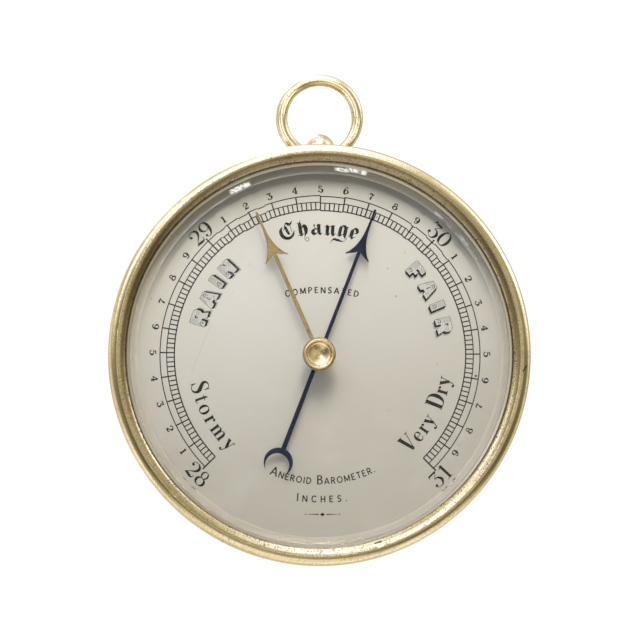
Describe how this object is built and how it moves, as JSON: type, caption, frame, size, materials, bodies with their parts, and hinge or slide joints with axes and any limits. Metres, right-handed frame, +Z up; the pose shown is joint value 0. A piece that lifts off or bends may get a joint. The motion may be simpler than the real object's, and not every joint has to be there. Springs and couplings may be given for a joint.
{
  "type": "aneroid wall barometer",
  "caption": "Round brass wall barometer with a hanging ring, bevelled glass, silvered dial, blued pressure hand, set hand on a knob, and an aneroid movement.",
  "frame": {"origin": "centre of the flat back of the case, on the axis of the hands, in the plane of the wall", "axes": "+Z up towards the hanging ring, -Y out of the wall towards the viewer of the dial, +X to the viewer's right"},
  "size_m": [0.127, 0.0494, 0.1504],
  "materials": {
    "case_brass": "aged polished brass with light patina",
    "gilt_brass": "lacquered brass",
    "movement_brass": "satin lacquered brass",
    "glass": "clear, bevelled edge",
    "silvered_dial": "silvered brass, matt, waxed engraving",
    "blued_steel": "tempered dark blue",
    "bright_steel": "polished steel",
    "black_iron": "black japanned casting",
    "german_silver": "spun nickel silver"
  },
  "bodies": {
    "case": {"case_body": "case_brass", "bezel": "case_brass", "glass": "glass", "glass_retaining_ring": "movement_brass", "ring_stud": "case_brass", "ring_stud_nut": "movement_brass", "dial": "silvered_dial", "dial_pillars": "movement_brass", "dial_pillar_screws": "blued_steel", "base_plate": "movement_brass", "case_spacers": "movement_brass", "case_screws": "case_brass", "capsule_lower_shell": "german_silver", "capsule_upper_shell": "german_silver", "capsule_nut": "movement_brass", "spring_carriage": "black_iron", "carriage_screws": "blued_steel", "main_spring": "blued_steel", "spring_clamp": "movement_brass", "spring_clamp_screws": "blued_steel", "shaft_cocks": "movement_brass", "cock_screws": "blued_steel", "pivot_screws": "bright_steel", "chain": "bright_steel", "arbor_bridge": "movement_brass", "bridge_pillars": "movement_brass", "bridge_screws": "blued_steel", "lower_cock": "movement_brass", "lower_cock_screws": "blued_steel", "hairspring": "blued_steel", "hairspring_stud": "movement_brass"},
    "ring": {"hanging_ring": "case_brass"},
    "setting": {"set_hand": "gilt_brass", "set_knob": "gilt_brass", "set_hand_nut": "movement_brass", "front_washer": "movement_brass", "spring_washer": "bright_steel"},
    "arbor": {"hand_arbor": "bright_steel", "chain_drum": "movement_brass", "hairspring_collet": "movement_brass", "hand_collet": "movement_brass", "pressure_hand": "blued_steel"},
    "lever": {"main_lever": "bright_steel", "compensation_strip": "movement_brass", "lever_screws": "blued_steel", "link_pin": "bright_steel", "capsule_post": "movement_brass", "knife_edge": "bright_steel"},
    "link": {"connecting_link": "bright_steel"},
    "rocker": {"rocking_shaft": "bright_steel", "rocking_crank": "movement_brass", "rocking_arm": "bright_steel"},
    "regulator": {"regulating_screw": "blued_steel"}
  },
  "joints": [
    {"name": "ring_swing", "type": "hinge", "parent": "case", "child": "ring", "pos_m": [0, -0.025, 0.0624], "axis": [1, 0, 0], "range_deg": [-98, 82]},
    {"name": "set_hand_turn", "type": "hinge", "parent": "case", "child": "setting", "pos_m": [0, -0.041, 0], "axis": [0, 1, 0], "continuous": true},
    {"name": "hand_sweep", "type": "hinge", "parent": "case", "child": "arbor", "pos_m": [0, -0.03, 0], "axis": [0, 1, 0], "range_deg": [-156, 114], "stiffness_Nm_per_rad": 0.002, "deforming": ["hairspring"]},
    {"name": "rocking_shaft_turn", "type": "hinge", "parent": "case", "child": "rocker", "pos_m": [0, -0.0082, -0.038], "axis": [1, 0, 0], "range_deg": [-11.77, 16.1], "deforming": ["chain"]},
    {"name": "lever_flex", "type": "hinge", "parent": "case", "child": "lever", "pos_m": [0, -0.0139, 0.041], "axis": [1, 0, 0], "range_deg": [-0.4612, 0.3371], "deforming": ["main_spring", "capsule_upper_shell", "capsule_lower_shell"]},
    {"name": "link_pivot", "type": "hinge", "parent": "lever", "child": "link", "pos_m": [0, -0.01865, -0.0358], "axis": [1, 0, 0], "range_deg": [-0.3371, 0.4612]},
    {"name": "regulating_screw_turn", "type": "hinge", "parent": "case", "child": "regulator", "pos_m": [0, -0.003, 0.0395], "axis": [0, 1, 0], "range_deg": [-360, 360]}
  ],
  "couplings": [
    {"joint": "rocking_shaft_turn", "follows": "hand_sweep", "ratio": -0.10119},
    {"joint": "lever_flex", "follows": "hand_sweep", "ratio": 0.0028987},
    {"joint": "link_pivot", "follows": "hand_sweep", "ratio": -0.0028987}
  ]
}
